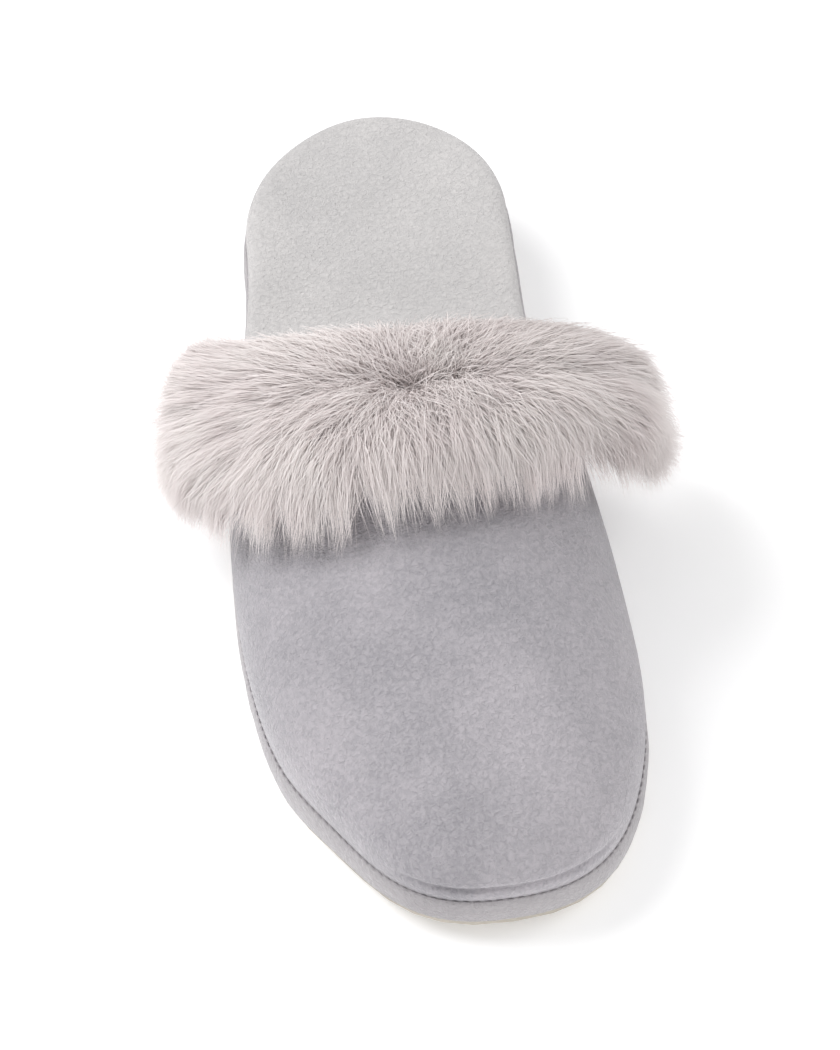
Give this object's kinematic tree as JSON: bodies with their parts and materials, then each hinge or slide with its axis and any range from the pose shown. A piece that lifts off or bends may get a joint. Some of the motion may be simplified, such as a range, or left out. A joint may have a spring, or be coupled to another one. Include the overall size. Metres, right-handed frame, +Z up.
{
  "type": "fur trim slipper",
  "caption": "Right-foot slip-on slipper with a closed round toe, an open heel, a padded footbed on a thin wedge platform, and a deep fur trim round the throat.",
  "frame": {"origin": "on the floor, at the middle of the flat under the ball of the foot", "axes": "+Z up, +Y towards the heel and -Y towards the toe, +X towards the inner (big toe) side"},
  "size_m": [0.129, 0.2592, 0.0801],
  "materials": {
    "outsole_cream": "matt cream textured sheet",
    "velour_band": "pale lavender grey velour",
    "velour_insole": "pale grey velour, padded",
    "velour_upper": "pale lavender grey velour",
    "fur": "long soft pinkish pale grey pile"
  },
  "bodies": {
    "root": {"outsole": "outsole_cream", "wrapped_midsole": "velour_band", "insole": "velour_insole", "upper": "velour_upper", "fur_trim": "fur"}
  },
  "joints": []
}
